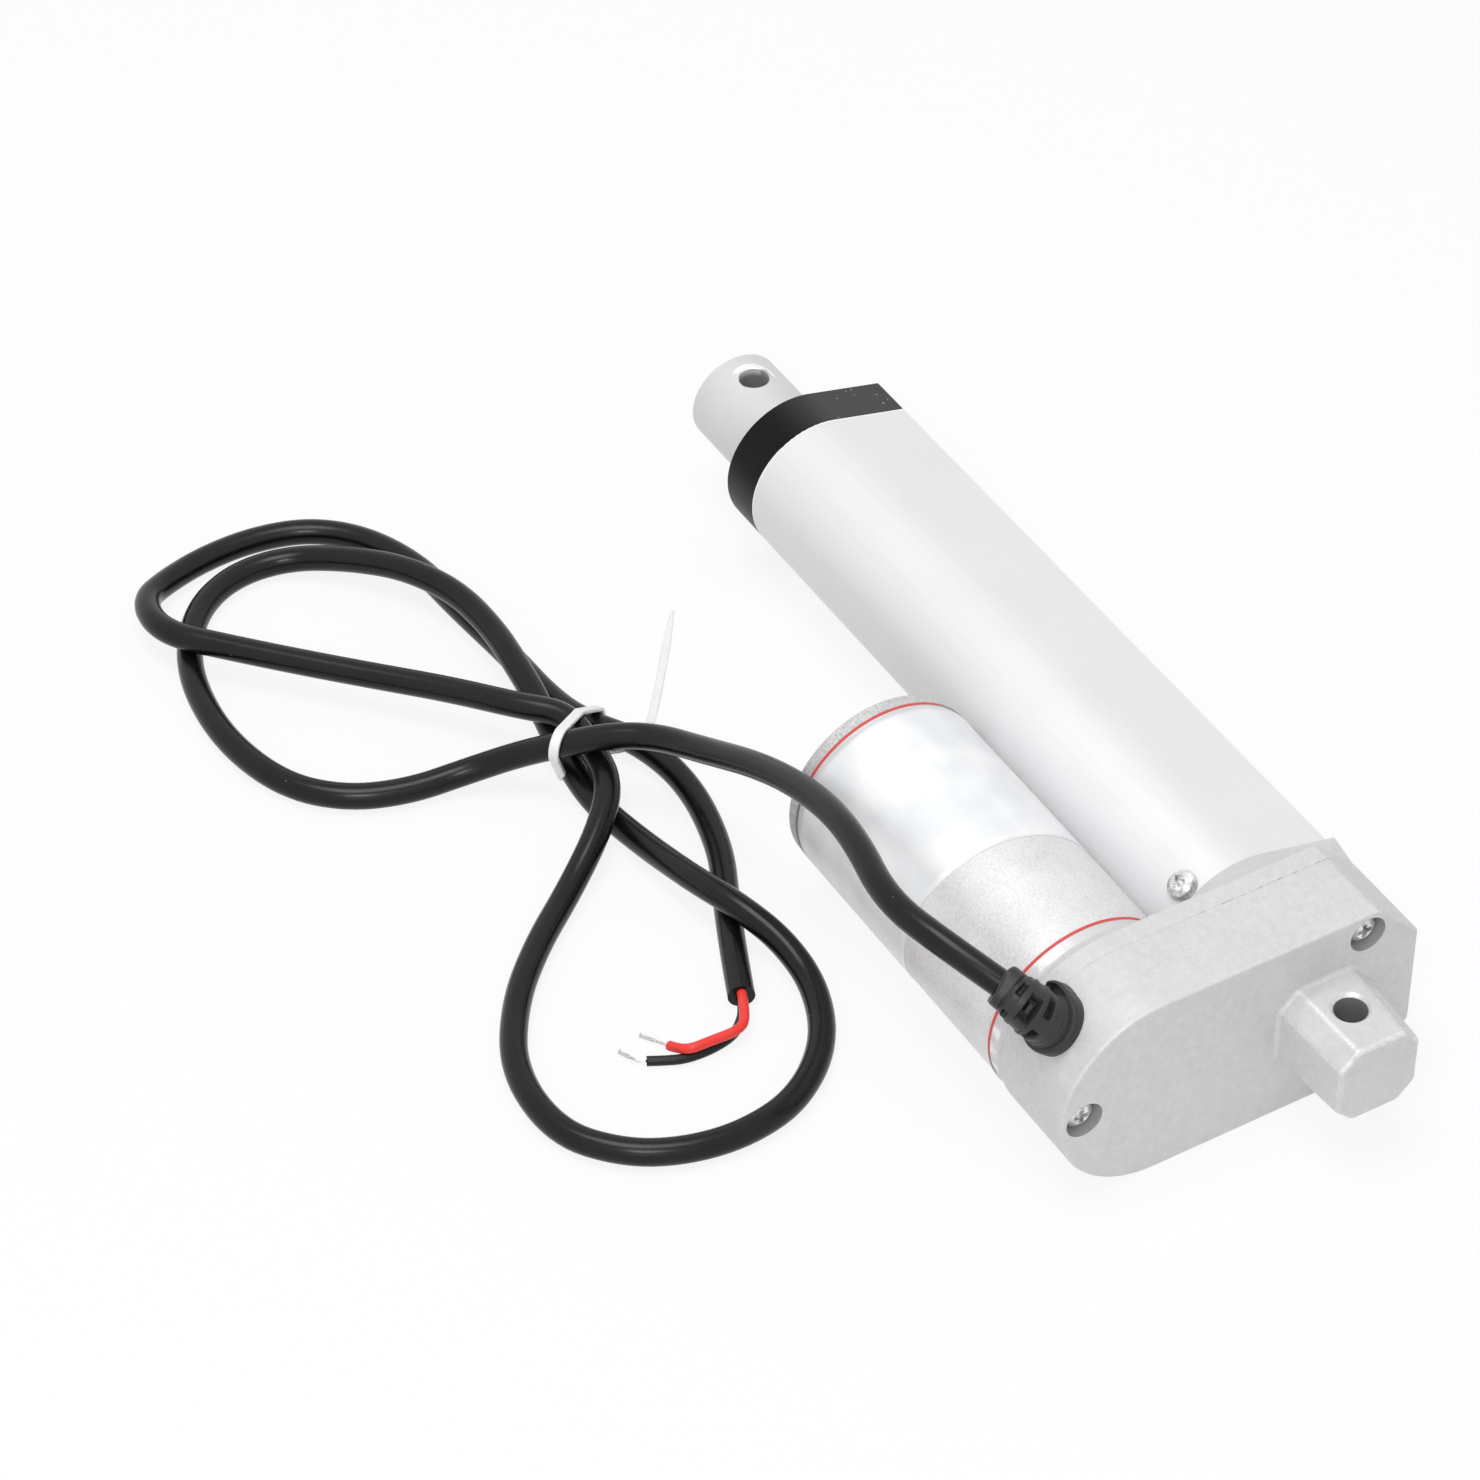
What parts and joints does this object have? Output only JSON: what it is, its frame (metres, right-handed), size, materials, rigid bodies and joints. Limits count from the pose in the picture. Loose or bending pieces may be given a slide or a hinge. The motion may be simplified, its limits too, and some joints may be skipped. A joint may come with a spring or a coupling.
{
  "type": "electric linear actuator",
  "caption": "Electric linear actuator: a motor beside a straight tube drives a rod in and out through gears and a lead screw; a cross bore at each end takes a pin, and a cord feeds the motor.",
  "frame": {"origin": "centre of the rear eye's cross bore", "axes": "+X along the screw towards the rod's end, +Y from the tube to the motor, +Z along the rear eye's bore"},
  "size_m": [0.2537, 0.1496, 0.0475],
  "materials": {
    "casting": "fine-grained die casting, satin",
    "tube_anodised": "satin anodised extrusion",
    "rod_aluminium": "satin turned",
    "motor_steel": "grainy plated steel",
    "zinc_screws": "bright zinc plate",
    "black_screws": "black oxide",
    "steel": "ground steel",
    "core_steel": "stacked steel sheets",
    "ferrite": "dark sintered ferrite",
    "bronze": "sintered bronze",
    "copper": "enamelled copper",
    "tinned_copper": "tinned strands",
    "acetal": "natural acetal",
    "black_plastic": "semi-gloss moulded",
    "red_gasket": "thin red gasket",
    "black_rubber": "moulded rubber",
    "cord_jacket": "smooth glossy vinyl jacket",
    "red_wire": "vinyl insulation",
    "black_wire": "vinyl insulation",
    "nylon": "natural nylon",
    "phenolic": "brown laminate",
    "carbon": "pressed carbon",
    "circuit_board": "green laminate",
    "switch_case": "black moulded",
    "switch_plunger": "moulded"
  },
  "bodies": {
    "casing": {"rear_cover": "casting", "front_housing": "casting", "motor_end_cap": "casting", "outer_tube": "tube_anodised", "motor_can": "motor_steel", "cover_screws": "zinc_screws", "tube_screws": "zinc_screws", "tie_bolts": "zinc_screws", "cap_screws": "black_screws", "bearing_outer_ring": "steel", "bearing_circlip": "steel", "idler_axle": "steel", "magnets": "ferrite", "rear_bush": "bronze", "shaft_bush_front": "bronze", "shaft_bush_rear": "bronze", "wire_strands": "tinned_copper", "rod_guide_bush": "acetal", "front_cap": "black_plastic", "front_gasket": "red_gasket", "rear_gasket": "red_gasket", "rod_wiper": "black_rubber", "cord_gland": "black_rubber", "power_cord": "cord_jacket", "red_wire": "red_wire", "black_wire": "black_wire", "cable_tie": "nylon", "brush_plate": "phenolic", "carbon_brushes": "carbon", "switch_board": "circuit_board", "retract_switch": "switch_case", "extend_switch": "switch_case"},
    "rod": {"extension_rod": "rod_aluminium", "rod_plug": "rod_aluminium", "drive_nut": "acetal"},
    "screw": {"lead_screw": "steel", "driven_gear": "steel", "bearing_inner_ring": "steel"},
    "ball_row": {"bearing_balls": "steel"},
    "idler": {"idler_gear": "steel"},
    "rotor": {"motor_shaft": "steel", "motor_pinion": "bronze", "armature_core": "core_steel", "armature_windings": "copper", "commutator": "copper"},
    "retract_button": {"retract_plunger": "switch_plunger"},
    "extend_button": {"extend_plunger": "switch_plunger"}
  },
  "joints": [
    {"name": "motor_spin", "type": "hinge", "parent": "casing", "child": "rotor", "pos_m": [0.06, 0.0352, 0], "axis": [-1, 0, 0], "range_deg": [0, 96000]},
    {"name": "idler_spin", "type": "hinge", "parent": "casing", "child": "idler", "pos_m": [0.018, 0.0176, 0], "axis": [-1, 0, 0], "range_deg": [-32001, 0]},
    {"name": "screw_spin", "type": "hinge", "parent": "casing", "child": "screw", "pos_m": [0.03, 0, 0], "axis": [-1, 0, 0], "range_deg": [0, 12001]},
    {"name": "ball_orbit", "type": "hinge", "parent": "casing", "child": "ball_row", "pos_m": [0.032, 0, 0], "axis": [-1, 0, 0], "range_deg": [0, 4465]},
    {"name": "rod_extend", "type": "slide", "parent": "casing", "child": "rod", "axis": [1, 0, 0], "range_m": [0, 0.1]},
    {"name": "retract_press", "type": "slide", "parent": "casing", "child": "retract_button", "axis": [1, 0, 0], "range_m": [-0.0006, 0], "stiffness_N_per_m": 300},
    {"name": "extend_press", "type": "slide", "parent": "casing", "child": "extend_button", "axis": [1, 0, 0], "range_m": [0, 0.0006], "stiffness_N_per_m": 300}
  ],
  "couplings": [
    {"joint": "idler_spin", "follows": "motor_spin", "ratio": -0.33333},
    {"joint": "screw_spin", "follows": "motor_spin", "ratio": 0.125},
    {"joint": "ball_orbit", "follows": "motor_spin", "ratio": 0.0465},
    {"joint": "rod_extend", "follows": "motor_spin", "m_per_rad": 0.000059683}
  ]
}
